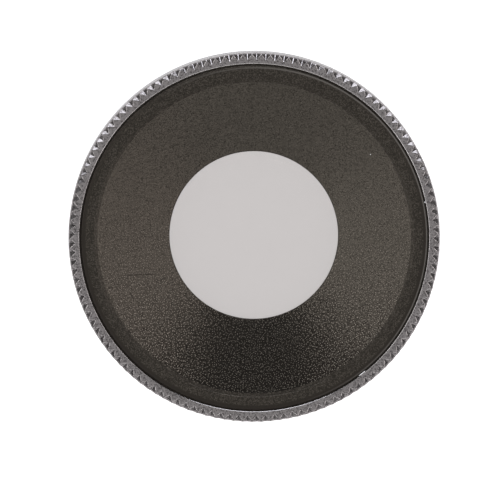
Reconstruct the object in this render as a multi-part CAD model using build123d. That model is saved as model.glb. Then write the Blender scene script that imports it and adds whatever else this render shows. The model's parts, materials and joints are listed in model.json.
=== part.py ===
from build123d import *
import math
import os

# Screw-in lens filter: notched ring with a male filter thread, black dished bezel, grey glass.
# Millimetres. The rear end of the thread lies on z = 0 and the front of the filter faces +Z.

# Filter thread at the rear
thread_diameter = 37.0
thread_pitch = 0.75
thread_length = 2.0
thread_lead_in = 0.35
thread_relief_width = 0.40
thread_relief_clearance = 0.05

# Rim
rim_height = 3.4
rim_overhang = 1.25
rim_rear_chamfer = 0.25

# V notches that slope down and out across the front edge of the rim
notch_count = 125
notch_reach = 0.72
notch_slope = 30.0
notch_angle = 120.0
notch_root_width = 0.06
notch_root_wall = 0.46

# Glass and its pocket in the ring
collar_wall = 1.25
glass_thickness = 1.2
glass_side_clearance = 0.05
ledge_width = 0.85
ledge_below_shoulder = 1.0
bore_chamfer = 0.15

# Bezel and its recess in the ring
recess_edge_chamfer = 0.10
recess_above_shoulder = 0.6
bezel_gap = 0.12
bezel_gap_depth = 1.0
bezel_fit_clearance = 0.03
bezel_seat_clearance = 0.05
bezel_edge_chamfer = 0.16
bezel_flat_width = 1.42
bezel_bevel_drop = 0.10
bezel_bevel_width = 0.38
opening_diameter = 18.0
opening_lip = 0.1
spigot_clearance = 0.05

# Radii that follow from the sizes above
thread_radius = thread_diameter / 2
thread_depth = 0.6134 * thread_pitch
relief_radius = thread_radius - thread_depth - thread_relief_clearance
rim_radius = thread_radius + rim_overhang
notch_radius = rim_radius - notch_reach
recess_radius = notch_radius - notch_root_wall
pocket_radius = thread_radius - collar_wall
glass_radius = pocket_radius - glass_side_clearance
bore_radius = pocket_radius - ledge_width

# Heights that follow from the sizes above
shoulder_z = thread_length
front_z = shoulder_z + rim_height
glass_rear_z = shoulder_z - ledge_below_shoulder
glass_front_z = glass_rear_z + glass_thickness
recess_floor_z = shoulder_z + recess_above_shoulder


def turned(points):
    """Solid of revolution about Z from a closed outline of (radius, height) points."""
    outline = Polyline(*[(r, 0, z) for r, z in points], close=True)
    return revolve(make_face(outline), axis=Axis.Z)


def make_ring_body():
    """Turned body of the ring: rim, shoulder, thread collar, recess, pocket and bore."""
    return turned([
        (bore_radius + bore_chamfer, 0),
        (thread_radius - thread_lead_in, 0),
        (thread_radius, thread_lead_in),
        (thread_radius, shoulder_z - thread_relief_width),
        (relief_radius, shoulder_z - thread_relief_width),
        (relief_radius, shoulder_z),
        (rim_radius - rim_rear_chamfer, shoulder_z),
        (rim_radius, shoulder_z + rim_rear_chamfer),
        (rim_radius, front_z),
        (recess_radius + recess_edge_chamfer, front_z),
        (recess_radius, front_z - recess_edge_chamfer),
        (recess_radius, recess_floor_z),
        (pocket_radius, recess_floor_z),
        (pocket_radius, glass_rear_z),
        (bore_radius, glass_rear_z),
        (bore_radius, bore_chamfer),
    ])


def make_notch():
    """Cutter for one notch: a V with a narrow flat root, from the front face out through the wall."""
    slope = math.radians(notch_slope)
    height = notch_reach * math.sin(slope)
    half_root = notch_root_width / 2
    half_top = half_root + height * math.tan(math.radians(notch_angle / 2))
    root = Plane(
        origin=(notch_radius, 0, front_z),
        x_dir=(0, 1, 0),
        z_dir=(math.cos(slope), 0, -math.sin(slope)),
    )
    section = Polyline(
        (-half_root, 0), (half_root, 0), (half_top, height), (-half_top, height), close=True
    )
    return extrude(root * make_face(section), notch_reach / math.cos(slope))


def make_ring():
    """Filter ring with its notched front edge."""
    notch = make_notch()
    return make_ring_body() - [turn * notch for turn in PolarLocations(0, notch_count)]


def make_bezel():
    """Dished bezel: flat outer ring, fine bevel, cone, opening lip and rear spigot."""
    gap_radius = recess_radius - bezel_gap
    fit_radius = recess_radius - bezel_fit_clearance
    flat_radius = gap_radius - bezel_flat_width
    cone_radius = flat_radius - bezel_bevel_width
    opening_radius = opening_diameter / 2
    spigot_radius = pocket_radius - spigot_clearance
    seat_z = recess_floor_z + bezel_seat_clearance
    return turned([
        (opening_radius, glass_front_z),
        (spigot_radius, glass_front_z),
        (spigot_radius, seat_z),
        (fit_radius, seat_z),
        (fit_radius, front_z - bezel_gap_depth),
        (gap_radius, front_z - bezel_gap_depth),
        (gap_radius, front_z - bezel_edge_chamfer),
        (gap_radius - bezel_edge_chamfer, front_z),
        (flat_radius, front_z),
        (cone_radius, front_z - bezel_bevel_drop),
        (opening_radius, glass_front_z + opening_lip),
    ])


def make_glass():
    """Flat glass disc that lies on the ledge."""
    disc = Cylinder(glass_radius, glass_thickness, align=(Align.CENTER, Align.CENTER, Align.MIN))
    return Pos(0, 0, glass_rear_z) * disc


os.makedirs("parts", exist_ok=True)
export_step(make_ring(), "parts/filter_ring.step")
export_step(make_bezel(), "parts/front_bezel.step")
export_step(make_glass(), "parts/filter_glass.step")
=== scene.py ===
import json
import math

import bmesh
import bpy
import numpy as np
from mathutils import Matrix, Vector


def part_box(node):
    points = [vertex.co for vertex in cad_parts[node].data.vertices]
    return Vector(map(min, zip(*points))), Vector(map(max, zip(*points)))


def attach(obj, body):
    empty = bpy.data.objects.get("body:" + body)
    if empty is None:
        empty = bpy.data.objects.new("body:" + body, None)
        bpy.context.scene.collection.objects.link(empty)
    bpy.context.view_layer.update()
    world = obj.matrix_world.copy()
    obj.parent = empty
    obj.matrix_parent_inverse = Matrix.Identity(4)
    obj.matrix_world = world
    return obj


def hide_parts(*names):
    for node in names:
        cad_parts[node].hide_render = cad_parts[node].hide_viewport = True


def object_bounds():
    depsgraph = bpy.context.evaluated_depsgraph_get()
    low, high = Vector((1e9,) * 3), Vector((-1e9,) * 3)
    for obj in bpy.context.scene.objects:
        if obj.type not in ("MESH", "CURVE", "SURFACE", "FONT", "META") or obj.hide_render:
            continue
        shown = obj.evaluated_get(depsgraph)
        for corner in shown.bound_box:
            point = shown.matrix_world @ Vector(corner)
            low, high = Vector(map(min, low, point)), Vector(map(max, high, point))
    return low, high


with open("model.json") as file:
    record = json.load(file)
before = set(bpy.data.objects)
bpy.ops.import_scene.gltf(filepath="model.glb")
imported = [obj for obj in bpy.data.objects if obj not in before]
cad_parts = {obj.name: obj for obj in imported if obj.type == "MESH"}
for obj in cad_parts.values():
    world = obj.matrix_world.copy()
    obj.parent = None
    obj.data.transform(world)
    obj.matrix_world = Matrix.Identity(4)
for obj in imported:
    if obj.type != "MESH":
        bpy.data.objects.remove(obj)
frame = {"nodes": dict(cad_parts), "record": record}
cad_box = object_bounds()

MM = 0.001

# Ring, read from the frame where it gives the size
ring_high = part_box("filter_ring")[1]
mounts = {mount["name"]: mount for mount in frame["record"]["mounts"]}
RIM_RADIUS = ring_high.x
FRONT_Z = ring_high.z
THREAD_RADIUS = mounts["lens_thread"]["dims"]["r_mm"] * MM
BORE_RADIUS = mounts["rear_bore"]["dims"]["r_mm"] * MM
SHOULDER_Z = 2.0 * MM
RIM_CHAMFER = 0.25 * MM
BORE_CHAMFER = 0.15 * MM
MOUTH_ROUND = 0.12 * MM
EDGE_ROUND = 0.03 * MM

# Notches across the front edge of the rim
NOTCHES = 125
NOTCH_REACH = 0.72 * MM
NOTCH_SLOPE = math.radians(30)
NOTCH_HALF_ANGLE = math.radians(60)
NOTCH_ROOT_HALF = 0.03 * MM
RIDGE_HALF = 0.03 * MM
NOTCH_ROUND = 0.02 * MM
OUTER_ROUND = 0.19 * MM
OUTER_STEPS = 4
NOTCH_RADIUS = RIM_RADIUS - NOTCH_REACH
NOTCH_FALL = math.tan(NOTCH_SLOPE)
NOTCH_FLANK = 1 / math.tan(NOTCH_HALF_ANGLE) / math.cos(NOTCH_SLOPE)
RECESS_RADIUS = NOTCH_RADIUS - 0.47 * MM
RECESS_FLOOR_Z = SHOULDER_Z + 0.6 * MM
POCKET_RADIUS = THREAD_RADIUS - 1.25 * MM

# Thread
THREAD_PITCH = 0.75 * MM
THREAD_DEPTH = 0.6134 * THREAD_PITCH
THREAD_FLANK = math.radians(30)
THREAD_CREST_HALF = 1 / 16
THREAD_LEAD_IN = 0.35 * MM
THREAD_END_Z = SHOULDER_Z - 0.40 * MM
RELIEF_RADIUS = THREAD_RADIUS - THREAD_DEPTH - 0.05 * MM
THREAD_ROWS = 40

# Glass
glass_low, glass_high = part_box("filter_glass")
LEDGE_Z = glass_low.z
GLASS_FRONT_Z = glass_high.z
CONTACT_GAP = 0.01 * MM

# Bezel
BEZEL_FIT_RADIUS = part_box("front_bezel")[1].x
BEZEL_SEAT_Z = RECESS_FLOOR_Z + 0.05 * MM
BEZEL_GAP_RADIUS = RECESS_RADIUS - 0.11 * MM
# The gap is drawn shallower than in the solids, which keeps it dark grey
GAP_FLOOR_Z = FRONT_Z - 0.30 * MM
BEZEL_CHAMFER = (0.10 * MM, 0.16 * MM)
FLAT_RADIUS = BEZEL_GAP_RADIUS - 1.42 * MM
BEVEL_Z = FRONT_Z - 0.10 * MM
BEVEL_STEP = 0.03 * MM
CONE_RADIUS = FLAT_RADIUS - 0.38 * MM
OPENING_RADIUS = 9.0 * MM
LIP_Z = GLASS_FRONT_Z + 0.1 * MM
LIP_ROUND = 0.08 * MM
SPIGOT_RADIUS = POCKET_RADIUS - 0.05 * MM
BEZEL_COLUMNS = 360

# Painted shade and painted highlights along edges, a scratch and dust: angles in degrees round the
# front, from +X towards +Y
# A stretch of an edge: its middle, half width and centre, and four radii where it fades in and out
AXIS = (0, 0)
# Painted shade along the bezel's outer border, strongest towards -Y and gone at +Y
BEZEL_PAINTED_SHADE = (-90, 180, AXIS, (17.86 * MM, 18.00 * MM, 18.45 * MM, 18.50 * MM))
# Painted highlight along the bezel's outer edge, on the +X and +Y sides
BEZEL_HIGHLIGHT_CENTRE = (0.144 * MM, -0.015 * MM)
BEZEL_PAINTED_HIGHLIGHT = (25, 100, BEZEL_HIGHLIGHT_CENTRE, (18.07 * MM, 18.15 * MM, 18.23 * MM, 18.29 * MM))
MOUTH_TOP_RADII = (0, BEZEL_GAP_RADIUS, RECESS_RADIUS + 0.08 * MM, RECESS_RADIUS + 0.17 * MM)
MOUTH_FOOT_RADII = (0, BEZEL_GAP_RADIUS, RECESS_RADIUS + 0.03 * MM, RECESS_RADIUS + 0.12 * MM)
# Painted highlights along the ring's mouth edge, on the +Y side and on the -Y side towards +X
MOUTH_PAINTED_HIGHLIGHT_TOP = (80, 90, AXIS, MOUTH_TOP_RADII)
MOUTH_PAINTED_HIGHLIGHT_FOOT = (-68, 60, AXIS, MOUTH_FOOT_RADII)
SCRATCH_PLACE = (-12.2 * MM, -4.05 * MM)
SCRATCH_HALF = (2.4 * MM, 0.075 * MM)
LINT_ANGLE, LINT_HALF = -51.6, (0.46 * MM, 0.045 * MM, 0.04 * MM)
CRUMB_ANGLE, CRUMB_HALF = 11.9, (0.09 * MM, 0.05 * MM, 0.05 * MM)
DUST_ANGLE, DUST_RADIUS, DUST_HALF = 35.7, 15.2 * MM, (0.05 * MM, 0.05 * MM, 0.04 * MM)

# Finishes: linear colours, dark and light where a grain goes from one to the other
GREY_GRAIN = 0.12 * MM
GREY_TONES = (0.14, 0.130, 0.130), (0.37, 0.346, 0.346)
# Painted highlight colour for the ring's mouth edge
GREY_PAINTED_HIGHLIGHT = (0.52, 0.49, 0.49)
GREY_CLOUD = 2.5 * MM
GREY_ROUGHNESS = 0.17, 0.22
GREY_SLOPE = 0.03
BLACK_TINT = (1.0, 0.88, 0.74, 1)
SMOOTH_GRAIN = 0.075 * MM
SMOOTH_TONES = (0.004, 0.0035, 0.003), (0.060, 0.053, 0.045)
# Painted shade colour for the bezel's outer border
SMOOTH_PAINTED_SHADE = (0.006, 0.005, 0.0045)
# Painted highlight colour for the bezel's outer edge
SMOOTH_PAINTED_HIGHLIGHT = (0.085, 0.080, 0.074)
SMOOTH_ROUGHNESS = 0.28
SMOOTH_SLOPE = 0.07
BLASTED_GRAIN = 0.05 * MM
# The light tone is the specks' colour, partly grain and partly painted glints
BLASTED_TONES = (0.002, 0.0017, 0.0014), (0.36, 0.322, 0.275)
BLASTED_ROUGHNESS, SCRATCH_ROUGHNESS = 0.20, 0.60
BLASTED_SLOPE = 0.14
# Light specks on the cone, partly grain and partly painted glints: core and edge in parts of their
# spacing, a fade along Y that paints light on them towards -Y, and a patch of painted shade where
# they are weaker
SPECK_SPACING = 0.24 * MM
SPECK_CORE, SPECK_EDGE = 0.03, 0.19
SPECK_PAINTED_LIGHT_FADE = (-0.6 * CONE_RADIUS, 0.4 * CONE_RADIUS, 1.0, 0.1)
PAINTED_SHADE_PLACE, PAINTED_SHADE_HALF, PAINTED_SHADE_SPECKS = (0, -13.0 * MM), (8.0 * MM, 7.0 * MM), 0.48
# Dust and glass
DUST_GRAIN = 0.1 * MM
DUST_TONES = (0.82, 0.82, 0.83), (0.95, 0.95, 0.96)
DUST_ROUGHNESS = 0.9
GLASS_COLOUR = (0.605, 0.578, 0.573, 1)
GLASS_SMEAR = 6 * MM
GLASS_ROUGHNESS = 0.0, 0.02
GLASS_IOR = 1.5

# Camera, from the photograph's 500 by 500 frame
IMAGE_PX = 500
RIM_WIDTH_PX = 372.0
RIM_CENTRE_PX = (254.33, 238.45)
VIEW_TILT = math.radians(6.6)
VIEW_SIDE = math.radians(-1.0)
VIEW_DISTANCE = 13 * 2 * RIM_RADIUS
SENSOR = 36.0

# Light: each sky band goes from one height to another, and from one level to another
SKY_LOW = (0.10, 0.60, 0.14, 0.16)
SKY_TOP = (0.82, 0.99, 0.00, 0.38)
# A lamp: azimuth and angle off the zenith in degrees, width and height, level, colour
LAMP_DISTANCE = 0.6
LAMPS = {
    "left_softbox": (183, 40, (0.84, 0.22), 2.8, (1.0, 1.0, 1.0)),
    "right_softbox": (357, 40, (0.84, 0.22), 2.6, (1.0, 0.96, 0.96)),
    "front_softbox": (270, 48, (0.60, 0.20), 2.0, (1.0, 1.0, 1.0)),
    "window_top": (90, 62, (0.50, 0.22), 4.6, (0.90, 0.93, 1.0)),
    "window_foot": (90, 81, (0.50, 0.17), 2.0, (0.90, 0.93, 1.0)),
}
# Floor: its tone, and what it sends to the camera, through the glass and to a mirror
FLOOR_HALF = 3.0
FLOOR_ROUGHNESS = 0.9
FLOOR_TONE, FLOOR_TONE_THROUGH = (0.9, 0.9, 0.9), (0.2, 0.2, 0.2)
FLOOR_SEEN, FLOOR_THROUGH, FLOOR_MIRRORED = 0.7, 0.92, 0.18


# Mesh helpers

def rounded(points, steps=4):
    """Open outline of (radius, height) from (radius, height, round) corners; 0 is a sharp one."""
    outline = []
    for index, (r, z, size) in enumerate(points):
        corner = np.array((r, z))
        if size == 0 or index in (0, len(points) - 1):
            outline.append(corner)
            continue
        before = np.array(points[index - 1][:2]) - corner
        after = np.array(points[index + 1][:2]) - corner
        start = corner + before / np.linalg.norm(before) * size
        end = corner + after / np.linalg.norm(after) * size
        for t in np.linspace(0, 1, steps + 1):
            outline.append((1 - t) ** 2 * start + 2 * t * (1 - t) * corner + t ** 2 * end)
    return outline


def plain_rows(points, angles):
    """Rows of a turned surface: the same radius and height all the way round."""
    return [(np.full(len(angles), r), np.full(len(angles), z), angles) for r, z in points]


def turned_mesh(name, rows, materials, row_material=None, flat_rows=()):
    """Closed mesh swept round Z from rows of radius, height and angle, joined last to first."""
    radius, height, angle = (np.array([row[part] for row in rows]) for part in range(3))
    count, columns = radius.shape
    points = np.stack((radius * np.cos(angle), radius * np.sin(angle), height), axis=-1)
    row, column = np.meshgrid(np.arange(count), np.arange(columns), indexing="ij")
    next_row = (row + 1) % count
    next_column = (column + 1) % columns
    corners = (
        row * columns + column,
        row * columns + next_column,
        next_row * columns + next_column,
        next_row * columns + column,
    )
    faces = np.stack(corners, axis=-1).reshape(-1, 4)
    mesh = bpy.data.meshes.new(name)
    mesh.from_pydata(points.reshape(-1, 3).tolist(), [], faces.tolist())
    for material in materials:
        mesh.materials.append(material)
    if row_material is not None:
        indices = np.repeat(row_material, columns).astype(np.int32)
        mesh.polygons.foreach_set("material_index", indices)
    smooth = np.ones(count, dtype=bool)
    smooth[list(flat_rows)] = False
    mesh.polygons.foreach_set("use_smooth", np.repeat(smooth, columns))
    mesh.update()
    piece = bpy.data.objects.new(name, mesh)
    bpy.context.scene.collection.objects.link(piece)
    return piece


def crisp_normals(piece):
    """Flat faces stay flat in shading and the narrow rounds between them carry the highlight."""
    weighted = piece.modifiers.new("face_weighted", "WEIGHTED_NORMAL")
    weighted.mode = "FACE_AREA"
    weighted.weight = 100
    weighted.keep_sharp = True


# Ring

def notch_row(radius):
    """Height and angle of the notched front at one radius: root, flank and ridge of every notch."""
    half_pitch = math.pi * radius / NOTCHES
    fall = max(0, radius - NOTCH_RADIUS) * NOTCH_FALL
    edge = min(NOTCH_ROOT_HALF + fall / NOTCH_FLANK, half_pitch - RIDGE_HALF)
    top = FRONT_Z - max(0, fall - (edge - NOTCH_ROOT_HALF) * NOTCH_FLANK)
    flank = max(edge - NOTCH_ROUND, NOTCH_ROOT_HALF + 0.1 * NOTCH_ROUND)
    flank_z = min(top, FRONT_Z - fall + (flank - NOTCH_ROOT_HALF) * NOTCH_FLANK)
    half = [
        (0, FRONT_Z - fall),
        (NOTCH_ROOT_HALF, FRONT_Z - fall),
        (flank, flank_z),
        (edge + NOTCH_ROUND, top),
    ]
    other = [(2 * half_pitch - place, height) for place, height in half[:0:-1]]
    places, heights = np.array(half + other).T
    starts = np.arange(NOTCHES)[:, None] * 2 * half_pitch
    return np.tile(heights, NOTCHES), ((starts + places) / radius).ravel()


def notch_rows():
    """Rows from the foot of the rim's wall over the notched edge to the notch roots."""
    edge = RIM_RADIUS - OUTER_ROUND
    top, angles = notch_row(edge)
    fall = OUTER_ROUND * NOTCH_FALL
    full = np.full(len(top), RIM_RADIUS)
    rows = [(full, np.full(len(top), SHOULDER_Z + 2 * RIM_CHAMFER), angles)]
    for t in np.linspace(1, 0, OUTER_STEPS + 1)[:-1]:
        heights = top - fall * t * (2 - t) - OUTER_ROUND * t ** 2
        rows.append((full - OUTER_ROUND * (1 - t) ** 2, heights, angles))
    half_pitch = math.pi * RIM_RADIUS / NOTCHES
    tip = NOTCH_RADIUS + (half_pitch - RIDGE_HALF - NOTCH_ROOT_HALF) * NOTCH_FLANK / NOTCH_FALL
    middle = (tip + NOTCH_RADIUS) / 2
    near_tip = (tip + NOTCH_ROUND, tip - NOTCH_ROUND)
    tips = [radius for radius in near_tip if radius < edge - NOTCH_ROUND]
    roots = (NOTCH_RADIUS + 0.5 * NOTCH_ROUND, NOTCH_RADIUS - 0.3 * NOTCH_ROUND)
    for radius in (edge, *tips, middle, *roots):
        heights, angles = notch_row(radius)
        rows.append((np.full(len(heights), radius), heights, angles))
    return rows


def thread_rows(angles):
    """Rows of a right-hand 60 degree thread, cut back by the lead-in at the rear end."""
    flank = 1 / math.tan(THREAD_FLANK) * THREAD_PITCH
    rows = []
    for z in np.linspace(0, THREAD_END_Z, THREAD_ROWS):
        place = z / THREAD_PITCH - angles / (2 * math.pi)
        from_crest = np.abs(place - np.round(place))
        cut = np.clip((from_crest - THREAD_CREST_HALF) * flank, 0, THREAD_DEPTH)
        envelope = min(THREAD_RADIUS, THREAD_RADIUS - THREAD_LEAD_IN + z)
        rows.append((np.minimum(THREAD_RADIUS - cut, envelope), np.full(len(angles), z), angles))
    return rows


def make_ring(material):
    """Notched ring with its helical thread, in place of the plain solid."""
    front = notch_rows()
    columns = len(front[0][0])
    angles = np.arange(columns) * 2 * math.pi / columns
    bore = rounded([
        (BORE_RADIUS, LEDGE_Z - CONTACT_GAP, 0),
        (BORE_RADIUS, BORE_CHAMFER, EDGE_ROUND),
        (BORE_RADIUS + BORE_CHAMFER, 0, EDGE_ROUND),
        (THREAD_RADIUS - THREAD_DEPTH - EDGE_ROUND, 0, 0),
    ])
    shoulder = rounded([
        (RELIEF_RADIUS, THREAD_END_Z, 0),
        (RELIEF_RADIUS, SHOULDER_Z, EDGE_ROUND),
        (RIM_RADIUS - RIM_CHAMFER, SHOULDER_Z, EDGE_ROUND),
        (RIM_RADIUS, SHOULDER_Z + RIM_CHAMFER, EDGE_ROUND),
        (RIM_RADIUS, SHOULDER_Z + 1.5 * RIM_CHAMFER, 0),
    ])
    inside = rounded([
        (RECESS_RADIUS + 1.5 * MOUTH_ROUND, FRONT_Z, 0),
        (RECESS_RADIUS, FRONT_Z, MOUTH_ROUND),
        (RECESS_RADIUS, RECESS_FLOOR_Z, EDGE_ROUND),
        (POCKET_RADIUS, RECESS_FLOOR_Z, EDGE_ROUND),
        (POCKET_RADIUS, LEDGE_Z - CONTACT_GAP, EDGE_ROUND),
        (BORE_RADIUS + EDGE_ROUND, LEDGE_Z - CONTACT_GAP, 0),
    ])
    rear = plain_rows(bore, angles) + thread_rows(angles) + plain_rows(shoulder, angles)
    rows = rear + front + plain_rows(inside, angles)
    facets = range(len(rear) + 2, len(rear) + len(front))
    ring = turned_mesh("notched_ring", rows, [material], flat_rows=facets)
    crisp_normals(ring)
    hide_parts("filter_ring")
    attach(ring, "root")
    return ring


# Bezel

def add_dust(piece, angle, radius, height, half, material_index):
    """Small rounded grain on a piece; half is half its length, width and height."""
    turn = Matrix.Rotation(math.radians(angle), 4, "Z")
    shift = Matrix.Translation((radius, 0, height))
    size = Matrix.Diagonal((half[1], half[0], half[2], 1))
    build = bmesh.new()
    build.from_mesh(piece.data)
    grain = bmesh.ops.create_icosphere(build, subdivisions=2, radius=1, matrix=turn @ shift @ size)
    for corner in grain["verts"]:
        for face in corner.link_faces:
            face.material_index = material_index
            face.smooth = True
    build.to_mesh(piece.data)
    build.free()


def make_bezel(smooth, grained, dust):
    """Dished bezel with fine rounded edges, a blasted cone, and dust on it and in the gap."""
    points = rounded([
        (OPENING_RADIUS, LIP_Z - LIP_ROUND, 0),
        (OPENING_RADIUS, GLASS_FRONT_Z + CONTACT_GAP, EDGE_ROUND),
        (SPIGOT_RADIUS, GLASS_FRONT_Z + CONTACT_GAP, EDGE_ROUND),
        (SPIGOT_RADIUS, BEZEL_SEAT_Z, EDGE_ROUND),
        (BEZEL_FIT_RADIUS, BEZEL_SEAT_Z, EDGE_ROUND),
        (BEZEL_FIT_RADIUS, GAP_FLOOR_Z, 0.3 * EDGE_ROUND),
        (BEZEL_GAP_RADIUS, GAP_FLOOR_Z, 0.3 * EDGE_ROUND),
        (BEZEL_GAP_RADIUS, FRONT_Z - BEZEL_CHAMFER[1], EDGE_ROUND),
        (BEZEL_GAP_RADIUS - BEZEL_CHAMFER[0], FRONT_Z, EDGE_ROUND),
        (FLAT_RADIUS, FRONT_Z, 0.3 * BEVEL_STEP),
        (FLAT_RADIUS - BEVEL_STEP, FRONT_Z - BEVEL_STEP, 0.3 * BEVEL_STEP),
        (CONE_RADIUS, BEVEL_Z, EDGE_ROUND),
        (OPENING_RADIUS, LIP_Z, LIP_ROUND),
        (OPENING_RADIUS, LIP_Z - 0.9 * LIP_ROUND, 0),
    ])
    angles = np.arange(BEZEL_COLUMNS) * 2 * math.pi / BEZEL_COLUMNS
    finishes = [smooth, grained, dust]
    blasted = [int(r < CONE_RADIUS and z > LIP_Z) for r, z in points]
    bezel = turned_mesh("dished_bezel", plain_rows(points, angles), finishes, blasted)
    gap_middle = (BEZEL_GAP_RADIUS + RECESS_RADIUS) / 2
    cone_fall = (BEVEL_Z - LIP_Z) / (CONE_RADIUS - OPENING_RADIUS)
    dust_z = BEVEL_Z - (CONE_RADIUS - DUST_RADIUS) * cone_fall
    for angle, radius, height, half in (
        (LINT_ANGLE, gap_middle, FRONT_Z - 1.5 * LINT_HALF[2], LINT_HALF),
        (CRUMB_ANGLE, gap_middle, FRONT_Z - 1.5 * CRUMB_HALF[2], CRUMB_HALF),
        (DUST_ANGLE, DUST_RADIUS, dust_z + 0.5 * DUST_HALF[2], DUST_HALF),
    ):
        add_dust(bezel, angle, radius, height, half, finishes.index(dust))
    crisp_normals(bezel)
    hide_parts("front_bezel")
    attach(bezel, "root")
    return bezel


# Materials

class Surface:
    """A node material with its Principled shader, and short calls that add nodes to it."""

    def __init__(self, name):
        self.material = bpy.data.materials.new(name)
        self.material.use_nodes = True
        self.tree = self.material.node_tree
        self.shader = self.tree.nodes["Principled BSDF"]
        coordinates = self.tree.nodes.new("ShaderNodeTexCoord")
        self.place = coordinates.outputs["Object"]
        self.normal = coordinates.outputs["Normal"]

    def set(self, **values):
        """Constant values on the shader's own sockets."""
        for name, value in values.items():
            self.shader.inputs[name.replace("_", " ")].default_value = value

    def link(self, output, socket):
        self.tree.links.new(output, socket)

    def noise(self, grain, detail=2.0):
        """Noise whose lumps are about grain metres across, from 0 to 1."""
        node = self.tree.nodes.new("ShaderNodeTexNoise")
        node.inputs["Scale"].default_value = 1 / grain
        node.inputs["Detail"].default_value = detail
        self.link(self.place, node.inputs["Vector"])
        return node.outputs["Fac"]

    def grains(self, grain):
        """Random colour for each cell of a pattern whose cells are about grain metres across."""
        node = self.tree.nodes.new("ShaderNodeTexVoronoi")
        node.inputs["Scale"].default_value = 1 / grain
        self.link(self.place, node.inputs["Vector"])
        return node.outputs["Color"]

    def dots(self, spacing):
        """Distance over X and Y to the nearest of many points; 1 is their spacing in metres."""
        node = self.tree.nodes.new("ShaderNodeTexVoronoi")
        node.voronoi_dimensions = "2D"
        node.inputs["Scale"].default_value = 1 / spacing
        self.link(self.place, node.inputs["Vector"])
        return node.outputs["Distance"]

    def part(self, colour, channel):
        """One channel of a colour."""
        node = self.tree.nodes.new("ShaderNodeSeparateColor")
        self.link(colour, node.inputs["Color"])
        return node.outputs[channel]

    def vector(self, operation, first, second=None, scale=1.0):
        """Vector operation on a socket and a socket or constant."""
        node = self.tree.nodes.new("ShaderNodeVectorMath")
        node.operation = operation
        node.inputs[3].default_value = scale
        self.link(first, node.inputs[0])
        if isinstance(second, tuple):
            node.inputs[1].default_value = second
        elif second is not None:
            self.link(second, node.inputs[1])
        return node.outputs["Value" if operation in ("LENGTH", "DOT_PRODUCT") else "Vector"]

    def product(self, first, second):
        """Two values multiplied."""
        node = self.tree.nodes.new("ShaderNodeMath")
        node.operation = "MULTIPLY"
        self.link(first, node.inputs[0])
        self.link(second, node.inputs[1])
        return node.outputs["Value"]

    def patch(self, middle, half):
        """1 in the middle of an upright oval column, falling to 0 at its edge."""
        shifted = self.vector("SUBTRACT", self.place, (*middle, 0))
        scaled = self.vector("MULTIPLY", shifted, (1 / half[0], 1 / half[1], 0))
        return self.remap(self.vector("LENGTH", scaled), 0.5, 1, 1, 0)

    def facets(self, grains, slope):
        """Normal tipped at random from grain to grain, by up to slope."""
        side = self.vector("SUBTRACT", self.vector("SCALE", grains, None, 2), (1, 1, 1))
        tipped = self.vector("ADD", self.vector("SCALE", side, None, slope), self.normal)
        return self.vector("NORMALIZE", tipped)

    def edge_stretch(self, middle, half_width, centre, radii):
        """1 between the middle two of four radii and 0 at the outer two, on part of a circle."""
        from_centre = self.vector("SUBTRACT", self.place, (*centre, 0))
        flat_place = self.vector("MULTIPLY", from_centre, (1, 1, 0))
        radius = self.vector("LENGTH", flat_place)
        inside = self.remap(radius, *radii[:2], 0, 1)
        # Band for the painted shade and painted highlights, between the four radii
        in_band = self.product(inside, self.remap(radius, *radii[2:], 1, 0))
        turn, fade = math.radians(middle), math.radians(half_width)
        side = self.vector("DOT_PRODUCT", flat_place, (math.cos(turn), math.sin(turn), 0))
        ends = (math.cos(fade) * radii[2], math.cos(fade / 2) * radii[2])
        return self.product(in_band, self.remap(side, *ends, 0, 1))

    def remap(self, value, low, high, to_low, to_high):
        """Value from one range to another, held at the ends."""
        node = self.tree.nodes.new("ShaderNodeMapRange")
        for socket, number in zip(node.inputs[1:5], (low, high, to_low, to_high)):
            socket.default_value = number
        self.link(value, node.inputs["Value"])
        return node.outputs["Result"]

    def most(self, first, second):
        """The larger of two values."""
        node = self.tree.nodes.new("ShaderNodeMath")
        node.operation = "MAXIMUM"
        self.link(first, node.inputs[0])
        self.link(second, node.inputs[1])
        return node.outputs["Value"]

    def mix(self, factor, first, second):
        """Colour between two colours."""
        node = self.tree.nodes.new("ShaderNodeMix")
        node.data_type = "RGBA"
        self.link(factor, node.inputs["Factor"])
        for socket, colour in ((node.inputs["A"], first), (node.inputs["B"], second)):
            if isinstance(colour, tuple):
                socket.default_value = (*colour, 1)
            else:
                self.link(colour, socket)
        return node.outputs["Result"]


def grey_anodised():
    """Grey anodised, bead-blasted aluminium: pitted grain, cloudy sheen and painted highlights
    along the mouth's edge on the +Y side and on the -Y side towards +X.
    """
    s = Surface("grey_anodised")
    s.set(Metallic=1.0)
    grains = s.grains(GREY_GRAIN)
    pits = s.remap(s.part(grains, "Blue"), 0.0, 0.5, 0, 1)
    tone = s.mix(pits, *GREY_TONES)
    # Painted highlights along the mouth's edge
    for painted_highlight in (MOUTH_PAINTED_HIGHLIGHT_TOP, MOUTH_PAINTED_HIGHLIGHT_FOOT):
        tone = s.mix(s.edge_stretch(*painted_highlight), tone, GREY_PAINTED_HIGHLIGHT)
    s.link(tone, s.shader.inputs["Base Color"])
    s.link(s.remap(s.noise(GREY_CLOUD), 0.3, 0.7, *GREY_ROUGHNESS), s.shader.inputs["Roughness"])
    s.link(s.facets(grains, GREY_SLOPE), s.shader.inputs["Normal"])
    return s.material


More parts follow.
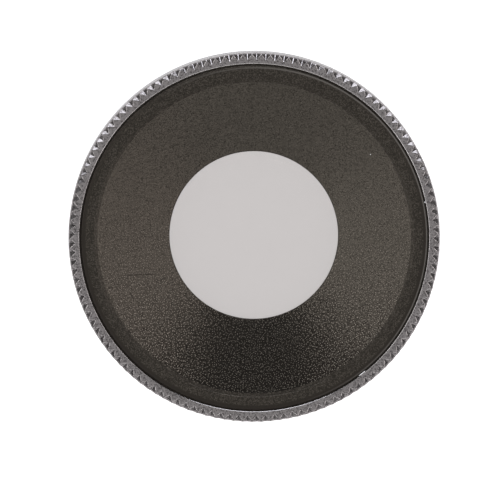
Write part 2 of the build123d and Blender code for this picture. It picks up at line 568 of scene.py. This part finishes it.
def black_smooth():
    """Black anodised aluminium, smooth, with painted shade along its outer border and a painted
    highlight along its outer edge.
    """
    s = Surface("black_smooth")
    s.set(Roughness=SMOOTH_ROUGHNESS, Specular_Tint=BLACK_TINT)
    grains = s.grains(SMOOTH_GRAIN)
    specks = s.remap(s.part(grains, "Blue"), 0.5, 1.0, 0, 1)
    tone = s.mix(specks, *SMOOTH_TONES)
    # Painted shade along the outer border
    tone = s.mix(s.edge_stretch(*BEZEL_PAINTED_SHADE), tone, SMOOTH_PAINTED_SHADE)
    # Painted highlight along the outer edge
    tone = s.mix(s.edge_stretch(*BEZEL_PAINTED_HIGHLIGHT), tone, SMOOTH_PAINTED_HIGHLIGHT)
    s.link(tone, s.shader.inputs["Base Color"])
    s.link(s.facets(grains, SMOOTH_SLOPE), s.shader.inputs["Normal"])
    return s.material


def black_grained():
    """Black anodised aluminium, blasted: light specks, partly grain and partly painted glints, with
    painted light making them stronger towards -Y and painted shade weakening them in a patch there,
    and one scratch.
    """
    s = Surface("black_grained")
    s.set(Specular_Tint=BLACK_TINT)
    across = s.vector("DOT_PRODUCT", s.place, (0, 1, 0))
    specks = s.remap(s.dots(SPECK_SPACING), SPECK_CORE, SPECK_EDGE, 1, 0)
    # Painted shade: the specks are weaker in a patch towards -Y
    painted_shade = s.remap(s.patch(PAINTED_SHADE_PLACE, PAINTED_SHADE_HALF), 0, 1, 1, PAINTED_SHADE_SPECKS)
    # Painted light: the specks are stronger towards -Y and fade towards +Y
    strength = s.product(s.remap(across, *SPECK_PAINTED_LIGHT_FADE), painted_shade)
    tone = s.mix(s.product(specks, strength), *BLASTED_TONES)
    scratch = s.patch(SCRATCH_PLACE, SCRATCH_HALF)
    roughness = s.remap(scratch, 0, 1, BLASTED_ROUGHNESS, SCRATCH_ROUGHNESS)
    s.link(tone, s.shader.inputs["Base Color"])
    s.link(roughness, s.shader.inputs["Roughness"])
    s.link(s.facets(s.grains(BLASTED_GRAIN), BLASTED_SLOPE), s.shader.inputs["Normal"])
    return s.material


def pale_dust():
    """Pale fibres and grains of dust."""
    s = Surface("pale_dust")
    s.set(Roughness=DUST_ROUGHNESS)
    s.link(s.mix(s.noise(DUST_GRAIN), *DUST_TONES), s.shader.inputs["Base Color"])
    return s.material


def grey_glass():
    """Light neutral grey glass, polished on both faces."""
    s = Surface("grey_glass")
    s.set(Base_Color=GLASS_COLOUR, Transmission_Weight=1.0, IOR=GLASS_IOR)
    smear = s.noise(GLASS_SMEAR, detail=3.0)
    s.link(s.remap(smear, 0.45, 0.75, *GLASS_ROUGHNESS), s.shader.inputs["Roughness"])
    return s.material


# Stage

def make_floor():
    """Pale floor that keeps the soft shadow of the filter."""
    mesh = bpy.data.meshes.new("floor")
    half = FLOOR_HALF
    corners = [(-half, -half, 0), (half, -half, 0), (half, half, 0), (-half, half, 0)]
    mesh.from_pydata(corners, [], [(0, 1, 2, 3)])
    floor = bpy.data.objects.new("floor", mesh)
    floor.location.z = cad_box[0].z - CONTACT_GAP
    bpy.context.scene.collection.objects.link(floor)
    s = Surface("floor_white")
    s.set(Roughness=FLOOR_ROUGHNESS, Emission_Color=(1, 1, 1, 1))
    rays = s.tree.nodes.new("ShaderNodeLightPath").outputs
    tone = s.mix(rays["Is Transmission Ray"], FLOOR_TONE, FLOOR_TONE_THROUGH)
    s.link(tone, s.shader.inputs["Base Color"])
    seen = s.remap(rays["Is Camera Ray"], 0, 1, 0, FLOOR_SEEN)
    through = s.remap(rays["Is Transmission Ray"], 0, 1, 0, FLOOR_THROUGH)
    mirrored = s.remap(rays["Is Glossy Ray"], 0, 1, 0, FLOOR_MIRRORED)
    s.link(s.most(s.most(seen, through), mirrored), s.shader.inputs["Emission Strength"])
    mesh.materials.append(s.material)


def make_world():
    """Dim room that is lighter overhead, and plain white to the camera."""
    world = bpy.data.worlds.new("studio")
    world.use_nodes = True
    bpy.context.scene.world = world
    tree = world.node_tree
    background = tree.nodes["Background"]
    way = tree.nodes.new("ShaderNodeTexCoord").outputs["Generated"]
    split = tree.nodes.new("ShaderNodeSeparateXYZ")
    tree.links.new(way, split.inputs["Vector"])
    level = tree.nodes.new("ShaderNodeLightPath").outputs["Is Camera Ray"]
    for band in (SKY_LOW, SKY_TOP):
        fade = tree.nodes.new("ShaderNodeMapRange")
        fade.interpolation_type = "SMOOTHSTEP"
        for socket, number in zip(fade.inputs[1:5], band):
            socket.default_value = number
        total = tree.nodes.new("ShaderNodeMath")
        tree.links.new(split.outputs["Z"], fade.inputs["Value"])
        tree.links.new(fade.outputs["Result"], total.inputs[0])
        tree.links.new(level, total.inputs[1])
        level = total.outputs["Value"]
    tree.links.new(level, background.inputs["Strength"])
    background.inputs["Color"].default_value = (1, 1, 1, 1)


def make_softbox(name, azimuth, off_zenith, size, level, colour):
    """Area lamp LAMP_DISTANCE away that faces the filter; level is its brightness, 1 for white."""
    lamp = bpy.data.lights.new(name, "AREA")
    lamp.shape = "RECTANGLE"
    lamp.size, lamp.size_y = size
    lamp.color = colour
    lamp.energy = level * math.pi * size[0] * size[1]
    turn, drop = math.radians(azimuth), math.radians(off_zenith)
    way = Vector((math.cos(turn) * math.sin(drop), math.sin(turn) * math.sin(drop), math.cos(drop)))
    holder = bpy.data.objects.new(name, lamp)
    holder.location = way * LAMP_DISTANCE
    holder.rotation_mode = "QUATERNION"
    holder.rotation_quaternion = (-way).to_track_quat("-Z", "Y")
    bpy.context.scene.collection.objects.link(holder)


def make_camera():
    """Long lens over the filter, tipped a little towards +Y, with +Y up in the picture."""
    pixel = 2 * RIM_RADIUS / RIM_WIDTH_PX
    back = Vector((math.tan(VIEW_SIDE), math.tan(VIEW_TILT), 1)).normalized()
    right = Vector((0, 1, 0)).cross(back).normalized()
    up = back.cross(right)
    aim = Vector((0, 0, FRONT_Z))
    aim += (IMAGE_PX / 2 - RIM_CENTRE_PX[0]) * pixel * right
    aim -= (IMAGE_PX / 2 - RIM_CENTRE_PX[1]) * pixel * up
    data = bpy.data.cameras.new("camera")
    data.sensor_width = SENSOR
    data.lens = SENSOR * VIEW_DISTANCE / (IMAGE_PX * pixel)
    data.clip_start, data.clip_end = 0.01, 10
    camera = bpy.data.objects.new("camera", data)
    turn = Matrix((right, up, back)).transposed()
    camera.matrix_world = Matrix.Translation(aim + back * VIEW_DISTANCE) @ turn.to_4x4()
    bpy.context.scene.collection.objects.link(camera)
    bpy.context.scene.camera = camera


make_ring(grey_anodised())
make_bezel(black_smooth(), black_grained(), pale_dust())
glass = frame["nodes"]["filter_glass"]
glass.data.materials.clear()
glass.data.materials.append(grey_glass())

make_floor()
make_world()
for lamp_name, lamp_values in LAMPS.items():
    make_softbox(lamp_name, *lamp_values)
make_camera()
bpy.context.scene.view_settings.view_transform = "Standard"
